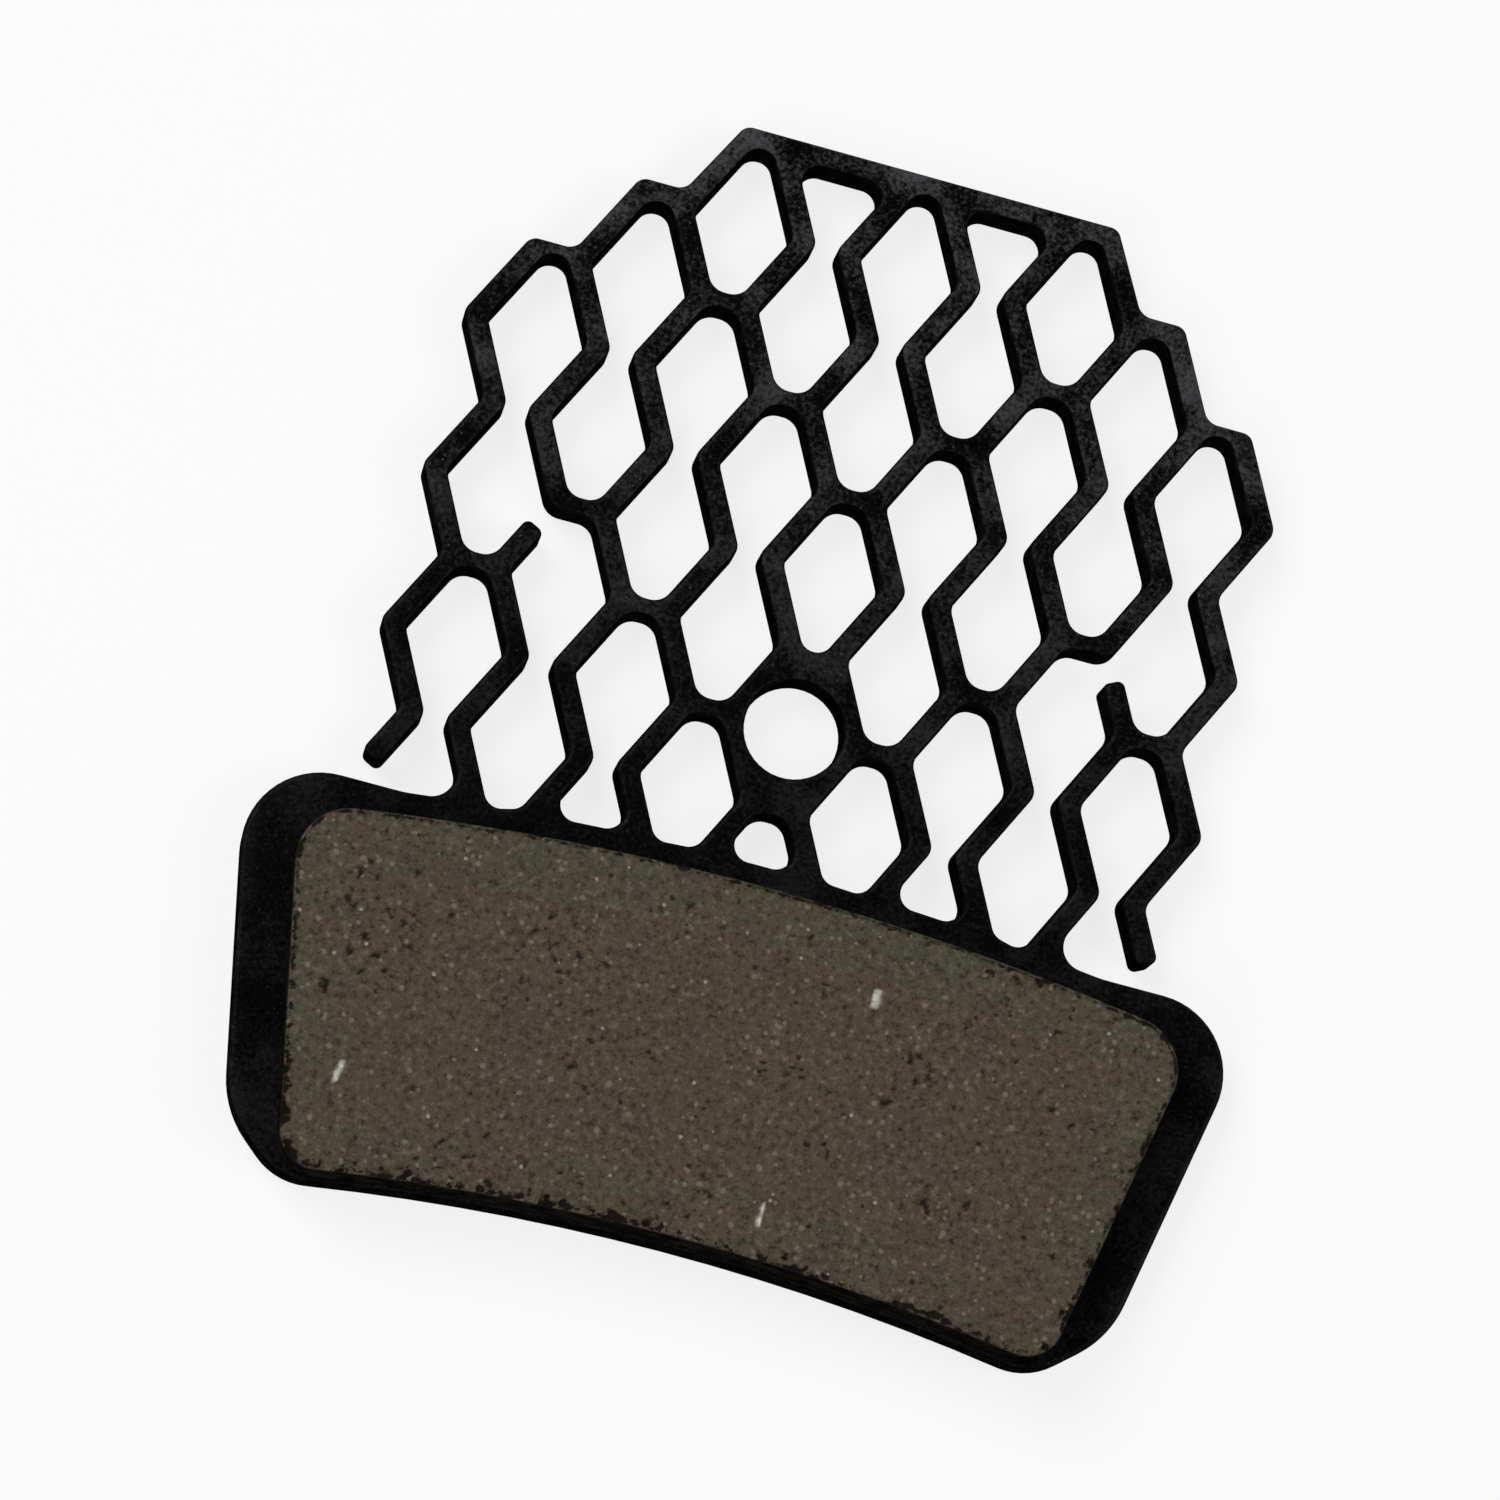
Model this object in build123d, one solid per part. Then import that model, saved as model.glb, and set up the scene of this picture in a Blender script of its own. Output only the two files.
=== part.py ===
from build123d import *
import os
from math import ceil, floor, hypot, radians, sqrt, tan

# Bicycle disc brake pad: a steel backing plate, cut in one piece with its lattice cooling fin,
# and a friction lining bonded to the plate's face.
# Millimetres. The pad lies on its back: +Z points out of the lining, +Y towards the fin's top bar.
# The origin is on the axis of the retaining pin's hole, at the back face.

# Backing plate, below the fin
plate_thickness = 1.8
plate_width = 38.38          # between the sharp shoulder corners
plate_depth = 14.5           # upper edge to lower edge, at the middle
crown_drop = 5.23            # pin axis down to the upper edge, at the middle
crown_rise = 0.8             # how far the upper edge arches above the level shoulders
crown_run = 1.95             # how far the arch runs on beyond the outermost rooted strand's line
hollow_rise = 1.16           # how far the lower edge arches above the heels
side_taper = 2.62            # how far each side leans in from shoulder to foot
heel_inset = 2.43            # width of the cut corner between foot and heel
heel_height = 2.1            # height of the same cut corner
crown_end_radius = 5.0       # where the arch runs out into a level shoulder
shoulder_radius = 2.9
foot_radius = 3.9
heel_radius = 2.5

# Retaining pin's hole
pin_hole_diameter = 3.7
eye_web = 1.2                # metal left between the hole and the opening above it

# Fin lattice: wavy strands rise from the plate to a top bar. Their bends lie on evenly spaced levels,
# level 0 on the pin axis, and neighbours sway towards each other by turns. Joints tie some of these
# close places and the others stay open as necks.
strand_pitch = 3.22
strand_width = 0.845
strand_sway = 0.762          # how far a strand's middle line swings to either side
bend_rise = 3.025            # height between two levels
joint_height = 0.64
bar_width = 0.79
bar_overlap = 0.03           # how far the bar's underside lies below its level
bar_end_inset = 0.08         # how far the bar's ends stand in from the strands' own lines
upper_step_rise = 0.75       # top of the fin's upper stepped shoulder above its level
lower_step_rise = 0.42       # top of the lower one above its own level
step_root_drop = 0.05        # how far below the step's level the opening under it ends
cut_gap = 0.82               # gap in the cut strand, below its joint with the next strand in
tip_gap = 0.75               # gap between the outermost strand's free tip and the plate
root_run = 0.6               # least height of a strand's straight run up from the plate or from its tip

# Roundings in the fin
cell_end_radius = 0.74       # where a cell ends at a joint
cell_corner_radius = 0.64    # where a cell ends at the bar or the plate
bend_radius = 0.6            # at the strands' bends
elbow_radius = 0.8           # where the cut strand turns in to its joint
step_root_radius = 0.65      # in the steps' inner corners
outer_radius = 0.5           # at the bar's ends and the steps' outer corners
tip_radius = 0.28            # at the strands' cut ends
root_radius = 0.88           # where the outermost rooted strand leaves the plate
fin_root = 1.0               # how far the fin's outline runs down into the plate

# Openings of the fin in each column, from the middle outwards, by the levels of their upper and lower
# ends. The top level is the bar's, and None stands for the plate.
cell_levels = (
    ((7, 3), (3, 1), (-1, None)),
    ((7, 4), (4, 0), (0, None)),
    ((7, 5), (5, 1), (1, None)),
    ((6, 2),),
)

# Outer opening, where two columns run together: its upper end, the joint above the cut, the stub's joint
outer_levels = (5, 2, 1)

# Friction lining
lining_thickness = 2.2
lining_top_inset = 1.14      # below the plate's upper edge, at the middle
lining_crown_rise = 1.44     # how far its upper edge arches above its corners
lining_bottom_inset = 0.15   # above the plate's lower edge
lining_side_inset = 1.93     # in from the plate's sides
lining_corner_radius = 2.0
lining_foot_radius = 1.4
lining_edge_break = 0.15

# Room for the roundings
least_run = 0.03             # straight run left over between two neighbouring roundings
end_run = 0.12               # a bend closer than this to the end of an edge is left out

shoulder_drop = crown_drop + crown_rise
hollow_drop = crown_drop + plate_depth
heel_drop = hollow_drop + hollow_rise
foot_drop = heel_drop - heel_height
shoulder_half = plate_width / 2
foot_half = shoulder_half - side_taper
heel_half = foot_half - heel_inset
bar_level = cell_levels[0][0][0]
eye_level = cell_levels[0][1][1]
cut_strand = len(cell_levels)
free_strand = cut_strand + 1
bar_underside = bar_level * bend_rise - bar_overlap
bar_top = bar_underside + bar_width
strand_slope = 2 * strand_sway / bend_rise
half_across = strand_width / 2 * hypot(1, strand_slope)


def strand_line(strand):
    """Mean distance of a strand from the fin's middle; strands count from 1 outwards."""
    return (strand - 0.5) * strand_pitch


def crown_half():
    """Half the width of the arched part of the plate's upper edge."""
    return strand_line(cut_strand) + crown_run


def crown_height(x):
    """Height of the plate's upper edge at x: arched at the middle, level at the shoulders."""
    radius = (crown_half() ** 2 + crown_rise ** 2) / (2 * crown_rise)
    reach = min(abs(x), crown_half())
    return sqrt(radius ** 2 - reach ** 2) - radius - crown_drop


def side_half(y):
    """Half the plate's width at the height y, between shoulder and foot."""
    return shoulder_half - side_taper * (-shoulder_drop - y) / (foot_drop - shoulder_drop)


def rounded_face(corners):
    """Face inside (x, y, radius) corners; each radius is held to what the two edges leave room for."""
    points = [Vector(x, y) for x, y, radius in corners]
    radii = []
    for i, (x, y, radius) in enumerate(corners):
        before = points[i - 1] - points[i]
        after = points[(i + 1) % len(points)] - points[i]
        room = (min(before.length, after.length) - least_run) / 2
        radii.append(min(radius, room * tan(radians(before.get_angle(after)) / 2)))
    return make_face(FilletPolyline(*points, radius=radii, close=True))


def round_corner(face, corner, radius):
    """Rounds the face's corner at a place, as far as the two edges beside it leave room."""
    vertex = face.vertices().sort_by_distance(corner)[0]
    place = vertex.center()
    beside = face.edges().sort_by_distance(place)[:2]
    ways = []
    for edge in beside:
        starts_here = (edge @ 0 - place).length < (edge @ 1 - place).length
        ways.append(edge % 0 if starts_here else -(edge % 1))
    room = min(edge.length for edge in beside) - least_run
    return fillet(vertex, min(radius, room * tan(radians(ways[0].get_angle(ways[1])) / 2)))


def round_pair(face, corner, radius):
    """Rounds a corner and its mirror image."""
    x, y = corner
    return round_corner(round_corner(face, (x, y), radius), (-x, y), radius)


def joint_top(level):
    return level * bend_rise + joint_height / 2


def joint_underside(level):
    return level * bend_rise - joint_height / 2


def step_underside(level):
    """Height at which the opening under a step ends."""
    return level * bend_rise - step_root_drop


def strand_middle(strand, height):
    """Distance of a strand's swaying middle line from the fin's middle."""
    level = max(floor(height / bend_rise), lowest_bend(strand) - 1)
    towards_middle = (strand + level) % 2 == 0
    swing = strand_sway * (1 - 2 * (height / bend_rise - level))
    return strand_line(strand) + (-swing if towards_middle else swing)


def strand_root(strand):
    """Height at which a strand meets the plate."""
    return crown_height(strand_line(strand))


def lowest_bend(strand):
    """Lowest level at which a strand bends; from there it runs straight to the plate or to its free tip."""
    foot = strand_root(free_strand) + tip_gap if strand == free_strand else strand_root(cut_strand)
    return ceil((foot + root_run) / bend_rise)


def strand_edge(strand, side, top, bottom, top_radius, bottom_radius):
    """Corners down a strand's edge, with the bends between; side is -1 for inner and +1 for outer."""
    first_bend = ceil((top - end_run) / bend_rise) - 1
    last_bend = max(floor((bottom + end_run) / bend_rise) + 1, lowest_bend(strand))
    bends = [level * bend_rise for level in range(first_bend, last_bend - 1, -1)]
    heights = [top] + bends + [bottom]
    radii = [top_radius] + [bend_radius] * len(bends) + [bottom_radius]
    return [(strand_middle(strand, y) + side * half_across, y, r) for y, r in zip(heights, radii)]


def mirrored(corners):
    return [(-x, y, radius) for x, y, radius in reversed(corners)]


def upper_end(column, level):
    """Height of an opening's upper end, at the bar, a step or a joint."""
    if level == bar_level:
        return bar_underside
    return step_underside(level) if column == cut_strand - 1 else joint_underside(level)


def lower_end(column, level, strand):
    """Height of an opening's lower end at one of its strands: at the plate, the pin's eye or a joint."""
    if level is None:
        return strand_root(strand)
    over_eye = column == 0 and level == eye_level
    return pin_hole_diameter / 2 + eye_web if over_eye else joint_top(level)


def cell(column, upper, lower):
    """Opening between strand `column` and the next one out, from its upper to its lower level."""
    top = upper_end(column, upper)
    top_radius = cell_corner_radius if upper == bar_level else cell_end_radius
    bottom_radius = cell_corner_radius if lower is None else cell_end_radius

    def edge(strand, side):
        return strand_edge(strand, side, top, lower_end(column, lower, strand), top_radius, bottom_radius)

    right = edge(column + 1, -1)
    left = mirrored(right) if column == 0 else edge(column, 1)[::-1]
    return rounded_face(right + left)


def square_end(strand, height):
    """Outer and inner corner of a strand cut square at a height, where it leans in on its way up."""
    across_x = strand_width / 2 / hypot(1, strand_slope)
    across_y = across_x * strand_slope
    x = strand_middle(strand, height)
    return [(x + across_x, height + across_y, tip_radius), (x - across_x, height - across_y, tip_radius)]


def cut_cell():
    """Outer opening: two columns that run together through the cut in the strand between them."""
    upper_level, cut_level, stub_level = outer_levels
    top = step_underside(upper_level)
    bend = cut_level * bend_rise
    cut_top = joint_underside(cut_level)
    foot = joint_top(stub_level)
    root = strand_root(cut_strand)
    inner_strand = cut_strand - 1
    stub_outer, stub_inner = square_end(cut_strand, cut_top - cut_gap)
    upper_left = strand_edge(cut_strand, 1, top, bend, cell_end_radius, bend_radius)
    elbow_x = upper_left[-1][0] - strand_slope * (bend - cut_top)
    upper_left[-1] = (elbow_x, cut_top, elbow_radius)
    upper_right = strand_edge(free_strand, -1, top, foot, cell_end_radius, cell_end_radius)
    stub_foot = strand_edge(cut_strand, 1, stub_outer[1], foot, tip_radius, cell_end_radius)[1:]
    stub_run = strand_edge(cut_strand, -1, stub_inner[1], root, tip_radius, cell_corner_radius)[1:]
    inner_root = strand_root(inner_strand)
    lower_left = strand_edge(inner_strand, 1, cut_top, inner_root, cell_end_radius, cell_corner_radius)
    stub = stub_foot[::-1] + [stub_outer, stub_inner] + stub_run
    return rounded_face(upper_right + stub + lower_left[::-1] + upper_left[::-1])


def step_corners(strand, level, rise):
    """The fin's outline at a stepped shoulder, where `strand` starts beside its inner neighbour."""
    height = level * bend_rise + rise
    inner_x = strand_middle(strand - 1, height) + half_across
    outer_x = strand_middle(strand, level * bend_rise) + half_across - strand_slope * rise
    return [(inner_x, height, step_root_radius), (outer_x, height, outer_radius)]


def fin_face():
    """The fin's outer outline, running down into the plate."""
    upper_level, stub_level = outer_levels[0], outer_levels[-1]
    last_bend = (bar_level - 1) * bend_rise
    bar_line = strand_middle(cut_strand - 1, last_bend) + half_across
    bar_end = bar_line - strand_slope * (bar_top - last_bend) - bar_end_inset
    tip_drop = strand_width / 2 * strand_slope / hypot(1, strand_slope)
    tip = square_end(free_strand, strand_root(free_strand) + tip_gap + tip_drop)
    start = step_underside(upper_level)
    fork = joint_underside(stub_level)
    outer_edge = strand_edge(free_strand, 1, start, tip[0][1], bend_radius, tip_radius)[1:-1]
    inner_edge = strand_edge(free_strand, -1, fork, tip[1][1], cell_end_radius, tip_radius)[:-1]
    root = strand_root(cut_strand) - fin_root
    root_edge = strand_edge(cut_strand, 1, fork, root, cell_end_radius, bend_radius)
    right = [(bar_end, bar_top, outer_radius)]
    right += step_corners(cut_strand, bar_level - 1, upper_step_rise)
    right += step_corners(free_strand, upper_level, lower_step_rise)
    right += outer_edge + tip + inner_edge[::-1] + root_edge
    return rounded_face(right + mirrored(right))


def plate_face():
    """The plate's own outline: arched top, level shoulders, tapering sides, cut corners, hollow bottom."""
    crown_end = (crown_half(), -shoulder_drop)
    shoulder = (shoulder_half, -shoulder_drop)
    foot = (foot_half, -foot_drop)
    heel = (heel_half, -heel_drop)
    flip = [(-x, y) for x, y in (heel, foot, shoulder, crown_end)]
    outline = ThreePointArc(flip[-1], (0, -crown_drop), crown_end)
    outline += Polyline(crown_end, shoulder, foot, heel)
    outline += ThreePointArc(heel, (0, -hollow_drop), flip[0])
    outline += Polyline(*flip)
    face = make_face(outline)
    for corner, radius in ((crown_end, crown_end_radius), (shoulder, shoulder_radius),
                           (foot, foot_radius), (heel, heel_radius)):
        face = round_pair(face, corner, radius)
    return face


def backing_plate():
    """Plate and fin in one piece, with the cells and the pin hole cut through."""
    face = plate_face() + fin_face()
    root = strand_root(cut_strand)
    root_x = strand_middle(cut_strand, root) + half_across
    face = round_pair(face, (root_x, root), root_radius)
    columns = [[cell(column, *ends) for ends in levels] for column, levels in enumerate(cell_levels)]
    side_cells = sum(columns[1:], [cut_cell()])
    mirror_cells = [mirror(opening, about=Plane.YZ) for opening in side_cells]
    face -= columns[0] + side_cells + mirror_cells
    face -= Circle(pin_hole_diameter / 2)
    return extrude(face, plate_thickness)


def friction_lining():
    """Block bonded to the plate's face, set in from its edges."""
    crown_y = -crown_drop - lining_top_inset
    upper_y = crown_y - lining_crown_rise
    lower_y = -heel_drop + lining_bottom_inset
    upper_x = side_half(upper_y) - lining_side_inset
    lower_x = side_half(lower_y) - lining_side_inset
    hollow = (0, -hollow_drop + lining_bottom_inset)
    outline = ThreePointArc((-upper_x, upper_y), (0, crown_y), (upper_x, upper_y))
    outline += Line((upper_x, upper_y), (lower_x, lower_y))
    outline += ThreePointArc((lower_x, lower_y), hollow, (-lower_x, lower_y))
    outline += Line((-lower_x, lower_y), (-upper_x, upper_y))
    face = make_face(outline)
    face = fillet(face.vertices().group_by(Axis.Y)[-1], lining_corner_radius)
    face = fillet(face.vertices().group_by(Axis.Y)[0], lining_foot_radius)
    block = extrude(Pos(0, 0, plate_thickness) * face, lining_thickness)
    return chamfer(block.faces().sort_by(Axis.Z)[-1].edges(), lining_edge_break)


os.makedirs("parts", exist_ok=True)
export_step(backing_plate(), "parts/backing_plate.step")
export_step(friction_lining(), "parts/friction_lining.step")
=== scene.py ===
import math

import bmesh
import bpy
import numpy as np
from mathutils import Matrix, Vector, noise

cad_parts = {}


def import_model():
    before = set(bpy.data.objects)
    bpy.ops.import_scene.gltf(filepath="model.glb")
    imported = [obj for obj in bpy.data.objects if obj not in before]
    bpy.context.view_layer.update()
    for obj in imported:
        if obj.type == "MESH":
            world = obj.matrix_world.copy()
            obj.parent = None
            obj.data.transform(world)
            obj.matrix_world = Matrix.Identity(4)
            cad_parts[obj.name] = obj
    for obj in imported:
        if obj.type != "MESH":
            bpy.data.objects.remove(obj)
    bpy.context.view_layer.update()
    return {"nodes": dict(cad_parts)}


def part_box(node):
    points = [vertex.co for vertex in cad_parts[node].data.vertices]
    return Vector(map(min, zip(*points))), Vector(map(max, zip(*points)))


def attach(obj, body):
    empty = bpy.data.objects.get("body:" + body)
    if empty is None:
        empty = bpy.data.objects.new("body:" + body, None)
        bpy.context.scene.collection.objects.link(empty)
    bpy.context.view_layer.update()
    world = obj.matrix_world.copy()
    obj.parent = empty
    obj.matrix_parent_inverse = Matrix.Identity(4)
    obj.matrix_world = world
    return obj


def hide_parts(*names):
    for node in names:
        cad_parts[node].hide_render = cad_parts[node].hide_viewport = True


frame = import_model()

# Lengths are in millimetres unless a name ends in _m. Y counts from the pin hole towards the fin's top.
MM = 0.001
weld_distance_m = 1e-7
flat_tolerance_m = 1e-6

# Backing plate: rounding the coat leaves on every edge; where its dust and painted sheen start and are full
edge_radius = 0.20
edge_steps = 4
flat_margin = 0.02           # ring inside the rounding that keeps the flat's own shading
dust_and_sheen_y = (-6.0, 24.0)

# Friction lining: its mesh, and how far up a normal points on its face, its wall and its back
lining_voxel = 0.09
face_from = 0.3
face_full = 0.8
wall_until = 0.5
wall_paint_until = 0.45
back_until = -0.99

# Friction lining: depths and reach of its grain, pits and chips
grain_depth = 0.015
grain_mean = 0.6             # share of the grain's depth that is ground away all over
grain_swing = 0.4
pit_depth = 0.10
pit_share = 0.016            # share of the face that lies in pits
pit_slope = 0.6              # share of that, more and less, over which a pit's side slopes
pit_bend = 0.12
rim_reach = 0.55
chip_depth = 0.38
chip_start = 0.05            # level of the noise above which the rim is chipped
upper_chips = 0.45           # depth of the upper rim's chips, as a share of the lower rim's
sunk_depth = (0.16, 0.08)    # depth below the face where the rim is wholly dark, and where that starts
wall_grain = 0.03
fleck_wobble = 0.25          # unevenness of a fleck's outline, as a share of half its width
fleck_slope = 2.0

# Friction lining: layers of noise, each with its weight, its scale per millimetre and its shift
shift_ratio_y = 0.7          # shift along Y and Z for a shift of 1 along X
shift_ratio_z = 1.3
grain_noise = ((1.0, 4.0, 3.1), (0.5, 9.0, 8.2))
sway_noise = ((1.0, 3.1, 1.4), (1.0, 3.1, 6.1))
string_noise = ((1.0, 1.9, 7.4), (0.8, 4.8, 2.7))
cluster_noise = ((0.5, 0.45, 9.1),)
chip_noise = ((1.0, 1.6, 5.5), (0.6, 4.5, 1.9))
fleck_noise = ((1.0, 6.0, 4.4),)
wall_noise = ((1.0, 3.0, 6.6),)

# Friction lining: heights at which the lower, more broken rim gives way to the upper, green one
lower_edge = -16.0
stain_y = (-18.5, -15.5)
ragged_y = (-17.5, -15.5)

# Pale grains and fibres that the grinding laid bare: both ends of the middle line, and half the width
inclusions = (
    ((-12.95, -16.54), (-13.07, -17.23), 0.12),
    ((5.10, -9.11), (5.11, -9.60), 0.18),
    ((2.92, -17.66), (2.91, -18.41), 0.09),
)

# Camera: where it stands from the pin hole, what it looks at and which way is up in the picture
camera_place = (-17.02, -47.02, 212.04)
camera_aim = (-1.41, -1.24, 2.0)
camera_up = (-0.2631, 0.9362, 0.2331)
camera_lens = 141.0

# Studio: a flat floor inside a white ring that is open above, and lamps around it
ring_radius_m = 1.5
ring_height_m = 0.8
ring_sides = 64
floor_drop_m = 0.00003
studio_paint = (0.86, 0.86, 0.86, 1.0)
studio_glow = 0.8            # share of plain white where the studio is seen
lamp_distance_m = 0.55
ambient_level = 0.10


# Geometry helpers
def flat_top(node):
    """Points, triangles and edge loops of a node's flat top, with the material left of each loop."""
    mesh = bmesh.new()
    mesh.from_mesh(frame["nodes"][node].data)
    bmesh.ops.remove_doubles(mesh, verts=mesh.verts[:], dist=weld_distance_m)
    mesh.verts.index_update()
    top = max(vert.co.z for vert in mesh.verts)
    faces = [face for face in mesh.faces if min(vert.co.z for vert in face.verts) > top - flat_tolerance_m]
    triangles = [[vert.index for vert in face.verts] for face in faces]
    points = {vert.index: Vector((vert.co.x, vert.co.y)) / MM for face in faces for vert in face.verts}
    mesh.free()
    sides = {(corner, triangle[(i + 1) % 3]) for triangle in triangles for i, corner in enumerate(triangle)}
    following = {start: end for start, end in sides if (end, start) not in sides}
    loops = []
    while following:
        start = min(following)
        loop = [start]
        point = following.pop(start)
        while point != start:
            loop.append(point)
            point = following.pop(point)
        loops.append(loop)
    return points, triangles, loops


def inward_steps(outline):
    """For each point of a closed outline, the step into the material that insets both its sides by 1."""
    steps = []
    for i, point in enumerate(outline):
        before = (point - outline[i - 1]).normalized()
        after = (outline[(i + 1) % len(outline)] - point).normalized()
        first = Vector((-before.y, before.x))
        second = Vector((-after.y, after.x))
        steps.append((first + second) / (1 + first.dot(second)))
    return steps


def add_piece(name, mesh, materials, wall_faces, node):
    """Links a finished mesh as the piece that stands for a CAD node; wall faces take the second material."""
    piece = bpy.data.objects.new(name, mesh)
    bpy.context.scene.collection.objects.link(piece)
    mesh.materials.clear()
    for material in materials:
        mesh.materials.append(material)
    mesh.polygons.foreach_set("material_index", np.asarray(wall_faces, dtype=np.int32))
    mesh.polygons.foreach_set("use_smooth", np.ones(len(mesh.polygons), dtype=bool))
    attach(piece, "root")
    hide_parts(node)
    return piece


def store(mesh, name, values):
    """Keeps one number for each point of a mesh, for its material to read."""
    layer = mesh.attributes.new(name, "FLOAT", "POINT")
    layer.data.foreach_set("value", np.asarray(values, dtype=np.float32))


# Material helpers
class Nodes:
    """Short ways to add and link shader nodes in one material."""

    def __init__(self, name):
        self.material = bpy.data.materials.new(name)
        self.material.use_nodes = True
        self.tree = self.material.node_tree
        self.shader = self.tree.nodes["Principled BSDF"]

    def add(self, kind, **settings):
        node = self.tree.nodes.new(kind)
        for key, value in settings.items():
            setattr(node, key, value)
        return node

    def feed(self, socket, value):
        """Links a node's output to a socket, or sets a plain value on it."""
        if hasattr(value, "is_linked"):
            self.tree.links.new(value, socket)
        else:
            socket.default_value = value

    def math(self, operation, first, second=0.0, third=0.0):
        node = self.add("ShaderNodeMath", operation=operation)
        for socket, value in zip(node.inputs, (first, second, third)):
            self.feed(socket, value)
        return node.outputs[0]

    def times(self, first, second):
        return self.math("MULTIPLY", first, second)

    def either(self, first, second):
        return self.math("MAXIMUM", first, second)

    def place_mm(self):
        """The object's own coordinates, in millimetres."""
        node = self.add("ShaderNodeVectorMath", operation="SCALE")
        self.feed(node.inputs[0], self.add("ShaderNodeTexCoord").outputs["Object"])
        node.inputs["Scale"].default_value = 1 / MM
        return node.outputs[0]

    def axis(self, place, name):
        node = self.add("ShaderNodeSeparateXYZ")
        self.feed(node.inputs[0], place)
        return node.outputs[name]

    def noise(self, place, scale, detail=3.0, roughness=0.55):
        node = self.add("ShaderNodeTexNoise")
        self.feed(node.inputs["Vector"], place)
        node.inputs["Scale"].default_value = scale
        node.inputs["Detail"].default_value = detail
        node.inputs["Roughness"].default_value = roughness
        return node.outputs["Fac"]

    def cells(self, place, scale):
        """Voronoi cells: distance from the middle of the cell, and a random number for each cell."""
        node = self.add("ShaderNodeTexVoronoi")
        self.feed(node.inputs["Vector"], place)
        node.inputs["Scale"].default_value = scale
        chance = self.add("ShaderNodeSeparateColor")
        self.feed(chance.inputs[0], node.outputs["Color"])
        return node.outputs["Distance"], chance.outputs[0]

    def ramp(self, value, low, high, start=0.0, end=1.0):
        """A smooth step from start to end, as value goes from low to high."""
        node = self.add("ShaderNodeMapRange", interpolation_type="SMOOTHSTEP")
        for socket, number in zip(node.inputs, (value, low, high, start, end)):
            self.feed(socket, number)
        return node.outputs[0]

    def fade(self, value, low, high):
        """A smooth step from 1 to 0, as value goes from low to high."""
        return self.ramp(value, low, high, start=1.0, end=0.0)

    def mix(self, factor, first, second):
        node = self.add("ShaderNodeMix", data_type="RGBA")
        self.feed(node.inputs["Factor"], factor)
        for name, colour in (("A", first), ("B", second)):
            socket = next(entry for entry in node.inputs if entry.name == name and entry.type == "RGBA")
            self.feed(socket, colour if hasattr(colour, "is_linked") else (*colour, 1.0))
        return next(output for output in node.outputs if output.type == "RGBA")

    def attribute(self, name):
        return self.add("ShaderNodeAttribute", attribute_name=name).outputs["Fac"]

    def specks(self, place, scale, chance, size, ragged=0.0):
        """Specks in a share of the cells, round or ragged: 1 inside a speck and 0 outside."""
        core = 0.6 * size
        distance, lot = self.cells(place, scale)
        if ragged:
            wobble = self.noise(place, scale=3 * scale, roughness=0.6)
            distance = self.math("ADD", distance, self.math("MULTIPLY_ADD", wobble, ragged, -ragged / 2))
        chosen = self.math("GREATER_THAN", lot, 1 - chance)
        return self.times(chosen, self.fade(distance, core, size))

    def surface(self, colour, roughness, specular):
        self.feed(self.shader.inputs["Base Color"], colour)
        self.feed(self.shader.inputs["Roughness"], roughness)
        self.shader.inputs["Specular IOR Level"].default_value = specular

    def bump(self, height, distance_m, strength):
        node = self.add("ShaderNodeBump")
        self.feed(node.inputs["Height"], height)
        node.inputs["Distance"].default_value = distance_m
        node.inputs["Strength"].default_value = strength
        self.feed(self.shader.inputs["Normal"], node.outputs[0])


# Materials
def coat_material():
    """Black baked coat: pebbled, faintly glossy, in patches dusty; lighter towards the fin's top with dust
    and painted sheen.
    """
    clean_coat = (0.0005, 0.0005, 0.0006)
    thin_dust = (0.0125, 0.0120, 0.0130)
    dust_with_painted_sheen = (0.0600, 0.0612, 0.0650)
    speck_grey = (0.070, 0.072, 0.070)
    rubbed_grey_and_glint = (0.020, 0.0205, 0.0210)
    nodes = Nodes("black_coat")
    place = nodes.place_mm()
    # Lighter towards the fin's top: thicker dust there, and a painted sheen where light would catch the top
    up_the_fin = nodes.ramp(nodes.axis(place, "Y"), *dust_and_sheen_y)
    dust_and_sheen = nodes.mix(up_the_fin, thin_dust, dust_with_painted_sheen)
    clouds = nodes.times(nodes.noise(place, scale=0.45), 0.45)
    mottle = nodes.noise(place, scale=5.5, detail=4.0, roughness=0.7)
    uneven = nodes.math("MULTIPLY_ADD", mottle, 0.55, clouds)
    colour = nodes.mix(nodes.ramp(uneven, 0.43, 0.67), clean_coat, dust_and_sheen)
    small_specks = nodes.specks(place, scale=5.0, chance=0.12, size=0.25)
    specks = nodes.either(nodes.specks(place, scale=2.6, chance=0.16, size=0.16), small_specks)
    speck_share = nodes.times(specks, nodes.ramp(up_the_fin, 0.0, 0.3, start=0.15, end=0.5))
    colour = nodes.mix(speck_share, colour, speck_grey)
    # Lighter grey in patches on the rounded edges: partly wear, partly a painted glint along the edges
    wear = nodes.ramp(nodes.noise(place, scale=1.7, detail=4.0), 0.56, 0.76)
    rubbed_and_glint = nodes.times(nodes.attribute("edge"), wear)
    colour = nodes.mix(nodes.times(rubbed_and_glint, 0.6), colour, rubbed_grey_and_glint)
    grain = nodes.noise(place, scale=8.0, roughness=0.6)
    pebbles = nodes.cells(place, scale=5.5)[0]
    nodes.surface(colour, nodes.ramp(grain, 0.3, 0.7, start=0.32, end=0.52), specular=0.04)
    height = nodes.math("MULTIPLY_ADD", pebbles, 0.35, nodes.times(grain, 0.8))
    nodes.bump(height, distance_m=0.00004, strength=0.5)
    return nodes.material


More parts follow.
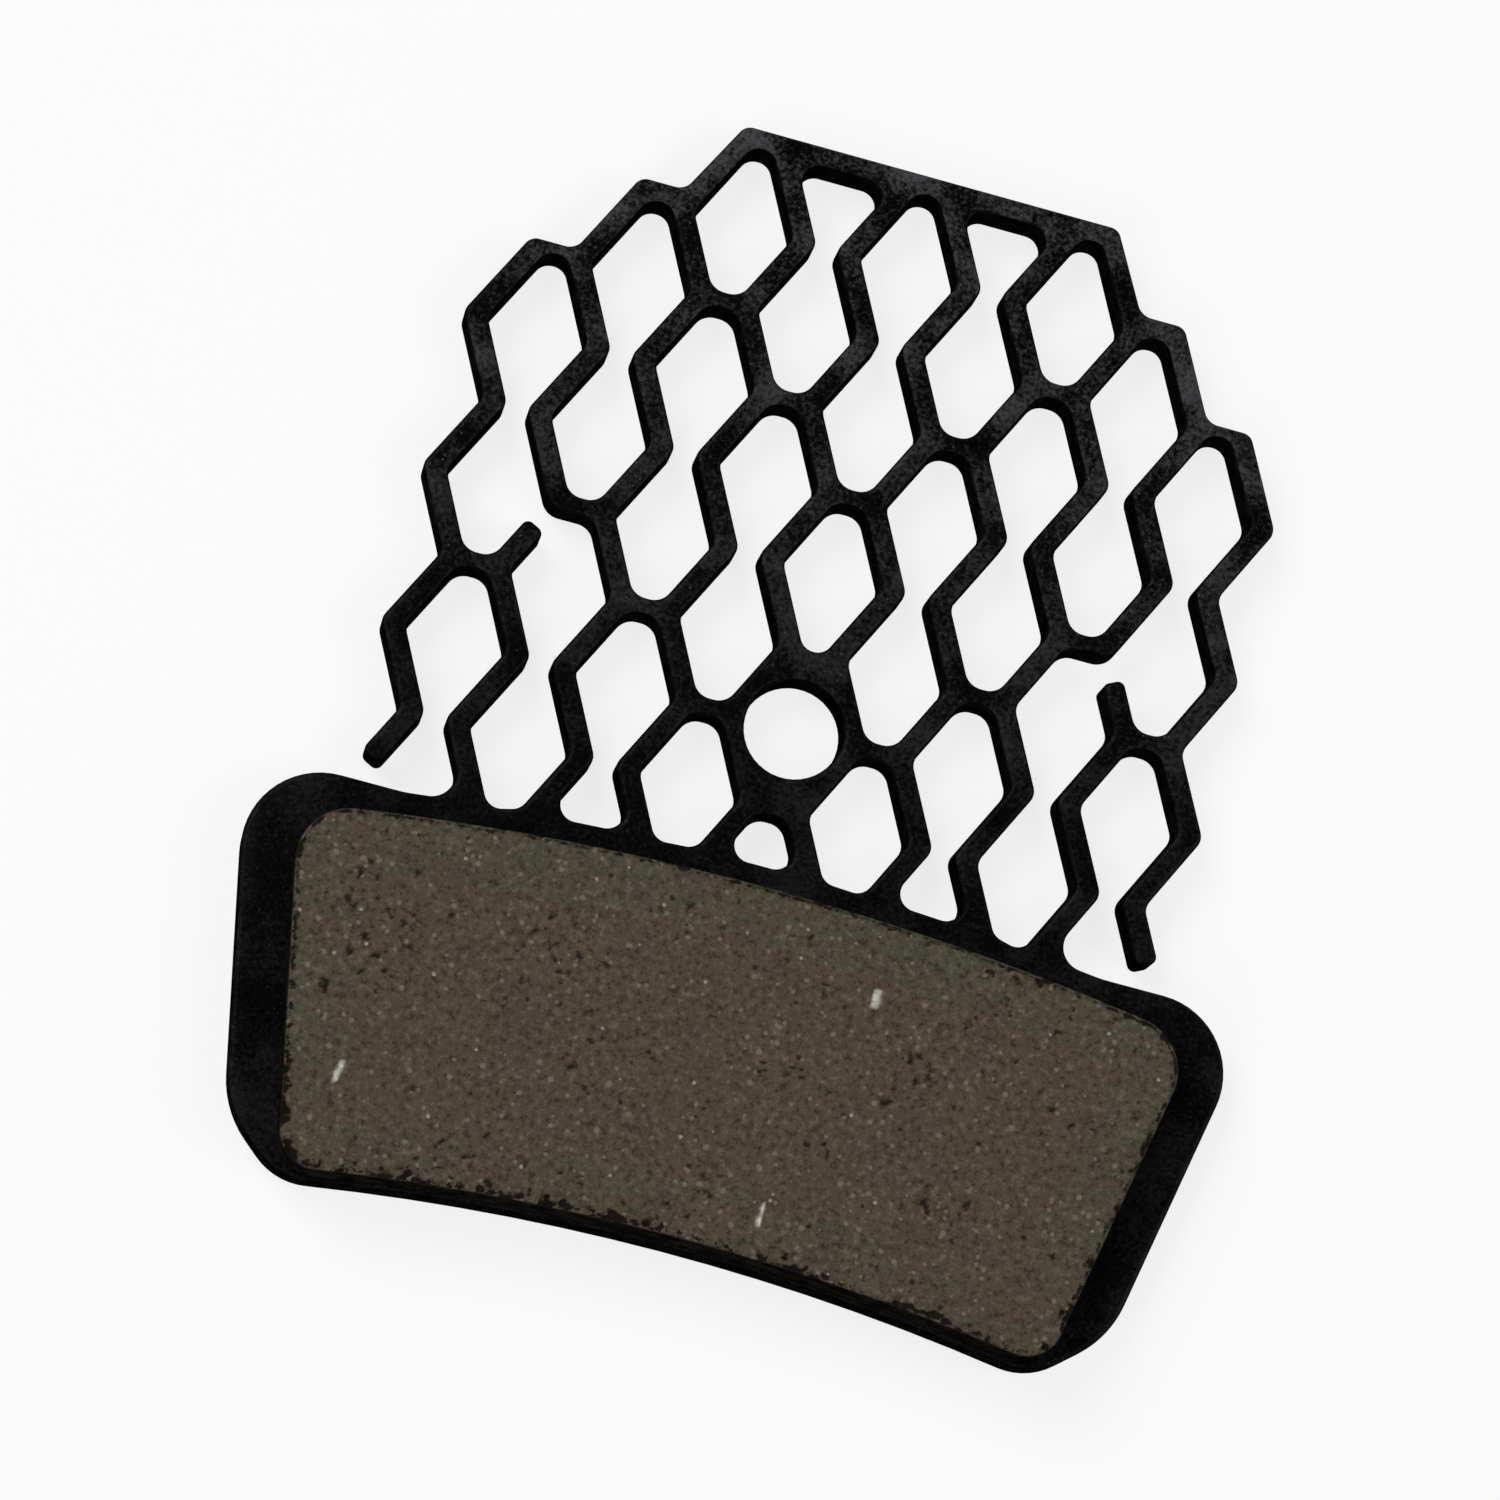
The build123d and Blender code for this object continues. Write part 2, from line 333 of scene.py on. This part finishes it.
def wall_material(name, dark, light):
    """Matt wall under a thin, uneven coat, with a few dusty specks."""
    speck_tone = [3 * level for level in light]
    nodes = Nodes(name)
    place = nodes.place_mm()
    uneven = nodes.ramp(nodes.noise(place, scale=1.3, detail=4.0, roughness=0.6), 0.38, 0.66)
    colour = nodes.mix(uneven, dark, light)
    specks = nodes.specks(place, scale=4.0, chance=0.08, size=0.22)
    colour = nodes.mix(nodes.times(specks, 0.4), colour, speck_tone)
    grain = nodes.noise(place, scale=7.0, roughness=0.6)
    nodes.surface(colour, nodes.ramp(grain, 0.3, 0.7, start=0.85, end=0.97), specular=0.0)
    nodes.bump(grain, distance_m=0.00004, strength=0.5)
    return nodes.material


def ground_face(nodes, place, grain, gap):
    """Colour of the ground face: brown, stained green towards its rim, with dark grain and pale crumbs."""
    brown = (0.0755, 0.0560, 0.0415)
    yellow_brown = (0.0765, 0.0600, 0.0405)
    deep_brown = (0.065, 0.0490, 0.0365)
    green = (0.069, 0.0665, 0.0415)
    grey_green = (0.064, 0.0600, 0.0420)
    dark_grain = (0.028, 0.0205, 0.0135)
    pale_grain = (0.138, 0.114, 0.084)
    crumb_tone = (0.180, 0.151, 0.117)
    spot_tone = (0.29, 0.260, 0.220)
    patches = nodes.noise(place, scale=0.22)
    blotches = nodes.noise(place, scale=0.7, detail=4.0, roughness=0.6)
    colour = nodes.mix(nodes.ramp(patches, 0.36, 0.64), brown, yellow_brown)
    colour = nodes.mix(nodes.ramp(blotches, 0.45, 0.75, end=0.7), colour, deep_brown)
    stain = nodes.mix(nodes.ramp(blotches, 0.40, 0.60), green, grey_green)
    stained = nodes.ramp(nodes.noise(place, scale=0.55), 0.34, 0.52)
    band = nodes.times(nodes.fade(gap, 1.0, 2.6), stained)
    upper = nodes.ramp(nodes.axis(place, "Y"), *stain_y, start=0.3, end=0.85)
    colour = nodes.mix(nodes.times(band, upper), colour, stain)
    colour = nodes.mix(nodes.ramp(grain, 0.485, 0.37, end=0.85), colour, dark_grain)
    colour = nodes.mix(nodes.ramp(grain, 0.52, 0.65, end=0.8), colour, pale_grain)
    small_crumbs = nodes.specks(place, scale=3.3, chance=0.16, size=0.32, ragged=0.35)
    crumbs = nodes.either(nodes.specks(place, scale=2.0, chance=0.26, size=0.26, ragged=0.35), small_crumbs)
    colour = nodes.mix(nodes.times(crumbs, 0.7), colour, crumb_tone)
    spots = nodes.specks(place, scale=1.9, chance=0.10, size=0.17, ragged=0.12)
    return nodes.mix(nodes.times(spots, 0.85), colour, spot_tone)


def broken_rim(nodes, place, gap, colour):
    """The colour given, darkened where the rim is chipped, with a few crumbs along it."""
    shade = (0.0075, 0.0056, 0.0040)
    crumb_tone = (0.112, 0.110, 0.094)
    face_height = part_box("friction_lining")[1].z / MM
    sunk_heights = [face_height - depth for depth in sunk_depth]
    swing = nodes.ramp(nodes.axis(place, "Y"), *ragged_y, start=1.6, end=0.8)
    ragged = nodes.math("SUBTRACT", nodes.noise(place, scale=2.6, detail=5.0, roughness=0.7), 0.5)
    ragged_gap = nodes.math("ADD", gap, nodes.times(ragged, swing))
    fringe = nodes.fade(ragged_gap, -0.03, 0.09)
    rim = nodes.fade(gap, 0.5, 0.9)
    sunk = nodes.times(rim, nodes.fade(nodes.axis(place, "Z"), *sunk_heights))
    colour = nodes.mix(nodes.either(sunk, fringe), colour, shade)
    crumbs = nodes.times(rim, nodes.specks(place, scale=2.8, chance=0.16, size=0.20, ragged=0.2))
    return nodes.mix(nodes.times(crumbs, 0.6), colour, crumb_tone)


def compound_material():
    """Friction compound: ground grey-brown face with pits and pale flecks, painted shade in pits and pores,
    dark where its rim is broken.
    """
    painted_hollow_shade = (0.0150, 0.0110, 0.0080)
    dull_fleck = (0.28, 0.27, 0.235)
    bright_fleck = (0.58, 0.57, 0.51)
    nodes = Nodes("friction_compound")
    place = nodes.place_mm()
    gap = nodes.attribute("gap")
    grain = nodes.noise(place, scale=3.8, detail=5.0, roughness=0.8)
    fine = nodes.noise(place, scale=11.0, detail=2.0, roughness=0.6)
    colour = ground_face(nodes, place, grain, gap)
    # Pits and pores painted dark: painted shade in the hollows
    pores = nodes.specks(place, scale=1.7, chance=0.12, size=0.20, ragged=0.30)
    shaded_hollows = nodes.either(nodes.attribute("pit"), nodes.times(pores, 0.85))
    colour = nodes.mix(shaded_hollows, colour, painted_hollow_shade)
    colour = broken_rim(nodes, place, gap, colour)
    fleck_tone = nodes.mix(nodes.ramp(grain, 0.35, 0.65), dull_fleck, bright_fleck)
    colour = nodes.mix(nodes.attribute("fleck"), colour, fleck_tone)
    nodes.surface(colour, nodes.ramp(fine, 0.3, 0.7, start=0.82, end=0.94), specular=0.08)
    nodes.bump(nodes.math("MULTIPLY_ADD", fine, 0.5, grain), distance_m=0.00005, strength=0.45)
    return nodes.material


# Backing plate: the CAD outline with rounded edges
def edge_profile(thickness):
    """Inset and height of each ring of points, from the flat back round the wall to the flat front."""
    turns = [math.pi / 2 * step / edge_steps for step in range(edge_steps + 1)]
    lower = [(edge_radius * (1 - math.sin(turn)), edge_radius * (1 - math.cos(turn))) for turn in turns]
    lower.insert(0, (edge_radius + flat_margin, 0.0))
    return lower + [(inset, thickness - height) for inset, height in reversed(lower)]


def backing_plate():
    points, triangles, loops = flat_top("backing_plate")
    low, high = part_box("backing_plate")
    profile = edge_profile((high.z - low.z) / MM)
    last = len(profile) - 1
    wall_start = 1 + edge_steps // 2
    places = []
    faces = []
    wall_faces = []
    edge = []
    first_ring = {}
    last_ring = {}
    for loop in loops:
        outline = [points[point] for point in loop]
        steps = inward_steps(outline)
        start = len(places)
        count = len(loop)
        for inset, height in profile:
            for point, step in zip(outline, steps):
                place = point + step * inset
                places.append((place.x * MM, place.y * MM, height * MM))
            edge += [1.0 if 0 < inset < edge_radius else 0.0] * count
        for level in range(last):
            below = start + level * count
            above = below + count
            for i in range(count):
                j = (i + 1) % count
                faces.append((below + i, below + j, above + j, above + i))
            wall_faces += [wall_start <= level < last - wall_start] * count
        for i, point in enumerate(loop):
            first_ring[point] = start + i
            last_ring[point] = start + last * count + i
    faces += [tuple(last_ring[point] for point in triangle) for triangle in triangles]
    faces += [tuple(first_ring[point] for point in reversed(triangle)) for triangle in triangles]
    wall_faces += [False] * (2 * len(triangles))
    mesh = bpy.data.meshes.new("coated_plate")
    mesh.from_pydata(places, [], faces)
    store(mesh, "edge", edge)
    cut_wall = wall_material("cut_wall", dark=(0.0012, 0.0012, 0.0013), light=(0.0052, 0.0052, 0.0054))
    materials = (coat_material(), cut_wall)
    piece = add_piece("coated_plate", mesh, materials, wall_faces, "backing_plate")
    even = piece.modifiers.new("even_normals", "WEIGHTED_NORMAL")
    even.keep_sharp = True


# Friction lining: the CAD block as a dense mesh, with a ground face, pits, chips and a grainy wall
def edge_distance(spots, outline):
    """Distance of each spot from a closed outline."""
    nearest = np.full(len(spots), np.inf)
    for i, end in enumerate(outline):
        start = outline[i - 1]
        along = end - start
        share = np.clip(((spots - start) @ along) / (along @ along), 0, 1)
        gap = np.linalg.norm(spots - start - share[:, None] * along, axis=1)
        nearest = np.minimum(nearest, gap)
    return nearest


def noise_at(places, layers):
    """Sum of layers of smooth noise at each place, each from minus its weight to its weight."""
    total = np.zeros(len(places))
    for weight, scale, shift in layers:
        offset = Vector((shift, shift * shift_ratio_y, shift * shift_ratio_z))
        total += weight * np.array([noise.noise(Vector(place) * scale + offset) for place in places])
    return total


def dense_block(node):
    """Even, dense mesh of a CAD node, in millimetres, with few faces on its flat back."""
    mesh = frame["nodes"][node].data.copy()
    mesh.transform(Matrix.Scale(1 / MM, 4))
    block = bpy.data.objects.new("dense_block", mesh)
    bpy.context.scene.collection.objects.link(block)
    weld = block.modifiers.new("weld", "WELD")
    weld.merge_threshold = weld_distance_m / MM
    remesh = block.modifiers.new("remesh", "REMESH")
    remesh.mode = "VOXEL"
    remesh.voxel_size = lining_voxel
    ready = block.evaluated_get(bpy.context.evaluated_depsgraph_get())
    dense = bpy.data.meshes.new_from_object(ready)
    bpy.data.objects.remove(block)
    shape = bmesh.new()
    shape.from_mesh(dense)
    back = [face for face in shape.faces if face.normal.z < back_until]
    bmesh.ops.dissolve_faces(shape, faces=back, use_verts=True)
    shape.to_mesh(dense)
    shape.free()
    return dense


def read_vectors(items, name):
    """One row of three numbers for each of a mesh's items."""
    numbers = np.zeros(len(items) * 3)
    items.foreach_get(name, numbers)
    return numbers.reshape(-1, 3)


def ground_relief(places, on_face):
    """Depth of the fine grain that the grinding leaves and of ragged pits in loose strings, and the pits."""
    grain = noise_at(places, grain_noise)
    sway = [noise_at(places, [layer]) for layer in sway_noise]
    bent = places + pit_bend * np.stack([*sway, np.zeros(len(places))], 1)
    strings = noise_at(bent, string_noise) + noise_at(places, cluster_noise)
    rims = (1 - (1 + pit_slope) * pit_share, 1 - (1 - pit_slope) * pit_share)
    shallow, deep = np.quantile(strings[on_face > 0.5], rims)
    pit = np.clip((strings - shallow) / (deep - shallow), 0, 1)
    return grain_depth * (grain_mean + grain_swing * grain) + pit_depth * pit, pit


def rim_chips(places, near_edge):
    """Depth of the chips along the rim, most of them along its lower edge."""
    rim = np.clip(1 - near_edge / rim_reach, 0, 1)
    broken = upper_chips + (1 - upper_chips) * np.clip(lower_edge - places[:, 1], 0, 1)
    return chip_depth * np.clip(noise_at(places, chip_noise) - chip_start, 0, 1) * rim * broken


def pale_flecks(places):
    """1 on the pale inclusions, and 0 beside them."""
    fleck = np.zeros(len(places))
    for start, end, half_width in inclusions:
        wobble = fleck_wobble * half_width * noise_at(places, fleck_noise)
        away = edge_distance(places[:, :2], np.array([start, end])) + wobble
        fleck = np.maximum(fleck, np.clip(fleck_slope * (1 - away / half_width), 0, 1))
    return fleck


def friction_lining():
    mesh = dense_block("friction_lining")
    low, high = (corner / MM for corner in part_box("friction_lining"))
    points, _, loops = flat_top("friction_lining")
    outline = np.array([points[point] for point in loops[0]])
    places = read_vectors(mesh.vertices, "co")
    normals = read_vectors(mesh.vertex_normals, "vector")
    near_edge = edge_distance(places[:, :2], outline)
    on_face = np.clip((normals[:, 2] - face_from) / (face_full - face_from), 0, 1)
    on_wall = np.clip(1 - np.abs(normals[:, 2]) / wall_until, 0, 1)

    # The face sinks below the CAD face, but less so at the pale inclusions, which are harder
    relief, pit = ground_relief(places, on_face)
    fleck = pale_flecks(places)
    sink = (relief + rim_chips(places, near_edge)) * (1 - fleck)
    places[:, 2] -= on_face * np.maximum(sink, 0)

    # Grain of the moulded wall
    wall = wall_grain * np.clip(0.5 + noise_at(places, wall_noise), 0, 1)
    places[:, :2] -= normals[:, :2] * (on_wall * wall)[:, None]

    places = np.clip(places, low, high)
    mesh.vertices.foreach_set("co", (places * MM).ravel())
    mesh.update()
    store(mesh, "pit", pit * on_face)
    store(mesh, "gap", near_edge)
    store(mesh, "fleck", fleck * on_face)
    wall_points = normals[:, 2] < wall_paint_until
    wall_faces = [all(wall_points[point] for point in polygon.vertices) for polygon in mesh.polygons]
    moulded = wall_material("moulded_wall", dark=(0.0032, 0.0027, 0.0021), light=(0.0120, 0.0098, 0.0074))
    materials = (compound_material(), moulded)
    add_piece("ground_lining", mesh, materials, wall_faces, "friction_lining")


# Floor, lamps, world and camera
def background_share(nodes):
    """1 for rays that see the background straight or by reflection or refraction, and 0 for the rest."""
    light_path = nodes.add("ShaderNodeLightPath")
    rays = [light_path.outputs[name] for name in ("Is Camera Ray", "Is Glossy Ray", "Is Transmission Ray")]
    return nodes.either(nodes.either(rays[0], rays[1]), rays[2])


def studio_material():
    """White where it is seen, straight or in a surface, and grey paint to the lamps."""
    nodes = Nodes("pale_studio")
    nodes.surface(studio_paint, roughness=0.9, specular=0.1)
    glow = nodes.add("ShaderNodeEmission")
    glow.inputs["Strength"].default_value = 1.0
    blend = nodes.add("ShaderNodeMixShader")
    nodes.feed(blend.inputs[0], nodes.times(background_share(nodes), studio_glow))
    nodes.feed(blend.inputs[1], nodes.shader.outputs[0])
    nodes.feed(blend.inputs[2], glow.outputs[0])
    output = nodes.tree.nodes["Material Output"]
    nodes.feed(output.inputs["Surface"], blend.outputs[0])
    return nodes.material


def studio():
    """Round floor, and the ring that stands on its rim."""
    material = studio_material()
    turns = [2 * math.pi * i / ring_sides for i in range(ring_sides)]
    rim = [(ring_radius_m * math.cos(turn), ring_radius_m * math.sin(turn)) for turn in turns]
    low = [(x, y, -floor_drop_m) for x, y in rim]
    high = [(x, y, ring_height_m) for x, y in rim]
    following = [(i + 1) % ring_sides for i in range(ring_sides)]
    sides = [(i, i + ring_sides, j + ring_sides, j) for i, j in enumerate(following)]
    for name, places, faces in (("floor", low, [tuple(range(ring_sides))]), ("ring", low + high, sides)):
        mesh = bpy.data.meshes.new(name)
        mesh.from_pydata(places, [], faces)
        mesh.materials.append(material)
        piece = bpy.data.objects.new(name, mesh)
        bpy.context.scene.collection.objects.link(piece)


def aim(thing, place, target, up):
    """Places a lamp or camera so that it looks at the target with `up` upwards."""
    back = (Vector(place) - Vector(target)).normalized()
    right = Vector(up).cross(back).normalized()
    turn = Matrix((right, back.cross(right), back)).transposed()
    thing.matrix_world = Matrix.Translation(place) @ turn.to_4x4()


def soft_lamp(name, azimuth, elevation, size_m, power):
    """A round lamp that looks at the pin hole, with its place in degrees around and above it."""
    lamp = bpy.data.lights.new(name, "AREA")
    lamp.shape = "DISK"
    lamp.size = size_m
    lamp.energy = power
    thing = bpy.data.objects.new(name, lamp)
    bpy.context.scene.collection.objects.link(thing)
    around = math.radians(azimuth)
    above = math.radians(elevation)
    flat = math.cos(above) * lamp_distance_m
    place = Vector((math.sin(around) * flat, -math.cos(around) * flat, math.sin(above) * lamp_distance_m))
    aim(thing, place, (0, 0, 0), (0, 0, 1))


def world():
    surroundings = bpy.data.worlds.new("studio")
    surroundings.use_nodes = True
    bpy.context.scene.world = surroundings
    ambient = surroundings.node_tree.nodes["Background"]
    ambient.inputs["Color"].default_value = (1.0, 1.0, 1.0, 1.0)
    ambient.inputs["Strength"].default_value = ambient_level


def camera():
    lens = bpy.data.cameras.new("camera")
    lens.lens = camera_lens
    lens.sensor_width = 36.0
    lens.clip_start = 0.01
    lens.clip_end = 20.0
    thing = bpy.data.objects.new("camera", lens)
    bpy.context.scene.collection.objects.link(thing)
    aim(thing, Vector(camera_place) * MM, Vector(camera_aim) * MM, camera_up)
    bpy.context.scene.camera = thing


backing_plate()
friction_lining()
studio()
soft_lamp("key_lamp", azimuth=238, elevation=50, size_m=0.34, power=1.9)
soft_lamp("side_lamp", azimuth=80, elevation=44, size_m=0.34, power=1.1)
soft_lamp("front_lamp", azimuth=330, elevation=40, size_m=0.30, power=0.8)
world()
camera()
bpy.context.scene.view_settings.view_transform = "Standard"
